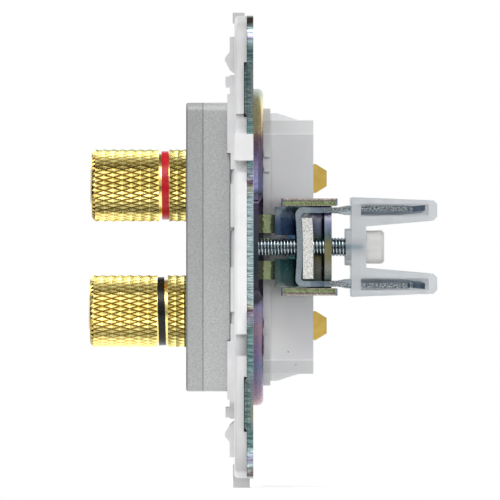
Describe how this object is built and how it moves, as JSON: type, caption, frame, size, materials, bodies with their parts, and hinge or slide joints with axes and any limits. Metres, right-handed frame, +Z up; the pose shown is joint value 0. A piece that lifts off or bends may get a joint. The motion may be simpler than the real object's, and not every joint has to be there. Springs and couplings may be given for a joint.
{
  "type": "loudspeaker terminal outlet",
  "caption": "Flush-mounting loudspeaker outlet with knurled binding posts on a steel frame with spreading claws.",
  "frame": {"origin": "centre of the flush box's screw circle, on the steel frame's wall face", "axes": "+Z up on the wall, +Y into the wall, -Y towards the room, where the posts point"},
  "size_m": [0.0724, 0.0539, 0.0738],
  "materials": {
    "zinc_steel": "passivated zinc",
    "zinc_bright": "bright zinc",
    "white_plastic": "matt",
    "aluminium_paint": "matt metallic paint",
    "grey_plastic": "satin",
    "gold_plate": "polished gold plate",
    "red_plastic": "gloss",
    "black_plastic": "gloss",
    "clear_plastic": "frosted translucent"
  },
  "bodies": {
    "chassis": {"steel_frame": "zinc_steel", "white_frame": "white_plastic", "front_plate": "aluminium_paint", "cover_base": "aluminium_paint", "rear_housing": "grey_plastic", "post_stud_red": "gold_plate", "bushing_red": "black_plastic", "washer_red": "black_plastic", "nut_red": "gold_plate", "solder_tab_red": "gold_plate", "post_stud_black": "gold_plate", "bushing_black": "black_plastic", "washer_black": "black_plastic", "nut_black": "gold_plate", "solder_tab_black": "gold_plate", "claw_bracket_right": "zinc_steel", "claw_guard_right": "clear_plastic", "claw_bracket_left": "zinc_steel", "claw_guard_left": "clear_plastic"},
    "red_ring": {"ring_red": "red_plastic"},
    "red_knob": {"knob_red": "gold_plate", "insert_red": "clear_plastic"},
    "black_ring": {"ring_black": "black_plastic"},
    "black_knob": {"knob_black": "gold_plate", "insert_black": "clear_plastic"},
    "right_claw": {"claw_right": "zinc_bright"},
    "right_nut_plate": {"nut_plate_right": "zinc_bright"},
    "right_screw": {"claw_screw_right": "zinc_bright"},
    "left_claw": {"claw_left": "zinc_bright"},
    "left_nut_plate": {"nut_plate_left": "zinc_bright"},
    "left_screw": {"claw_screw_left": "zinc_bright"}
  },
  "joints": [
    {"name": "red_knob_advance", "type": "slide", "parent": "chassis", "child": "red_ring", "axis": [0, -1, 0], "range_m": [0, 0.0052]},
    {"name": "red_knob_turn", "type": "hinge", "parent": "red_ring", "child": "red_knob", "pos_m": [0, -0.017, 0.00958], "axis": [0, -1, 0], "range_deg": [0, 1872]},
    {"name": "black_knob_advance", "type": "slide", "parent": "chassis", "child": "black_ring", "axis": [0, -1, 0], "range_m": [-0.0002, 0.005]},
    {"name": "black_knob_turn", "type": "hinge", "parent": "black_ring", "child": "black_knob", "pos_m": [0, -0.017, -0.00998], "axis": [0, -1, 0], "range_deg": [-72, 1800]},
    {"name": "right_claw_spread", "type": "hinge", "parent": "chassis", "child": "right_claw", "pos_m": [0.02, 0.0033, 0], "axis": [0, 0, -1], "range_deg": [0, 13]},
    {"name": "right_screw_turn", "type": "hinge", "parent": "chassis", "child": "right_screw", "pos_m": [0.024, 0.008, 0], "axis": [0, 1, 0], "range_deg": [0, 217]},
    {"name": "right_nut_travel", "type": "slide", "parent": "chassis", "child": "right_nut_plate", "axis": [0, -1, 0], "range_m": [0, 0.0003]},
    {"name": "left_claw_spread", "type": "hinge", "parent": "chassis", "child": "left_claw", "pos_m": [-0.02, 0.0033, 0], "axis": [0, 0, 1], "range_deg": [0, 13]},
    {"name": "left_screw_turn", "type": "hinge", "parent": "chassis", "child": "left_screw", "pos_m": [-0.024, 0.008, 0], "axis": [0, 1, 0], "range_deg": [0, 217]},
    {"name": "left_nut_travel", "type": "slide", "parent": "chassis", "child": "left_nut_plate", "axis": [0, -1, 0], "range_m": [0, 0.0003]}
  ],
  "couplings": [
    {"joint": "red_knob_turn", "follows": "red_knob_advance", "rad_per_m": 6283.2},
    {"joint": "black_knob_turn", "follows": "black_knob_advance", "rad_per_m": 6283.2},
    {"joint": "right_screw_turn", "follows": "right_nut_travel", "rad_per_m": 12566},
    {"joint": "right_claw_spread", "follows": "right_nut_travel", "rad_per_m": 756.3},
    {"joint": "left_screw_turn", "follows": "left_nut_travel", "rad_per_m": 12566},
    {"joint": "left_claw_spread", "follows": "left_nut_travel", "rad_per_m": 756.3}
  ]
}
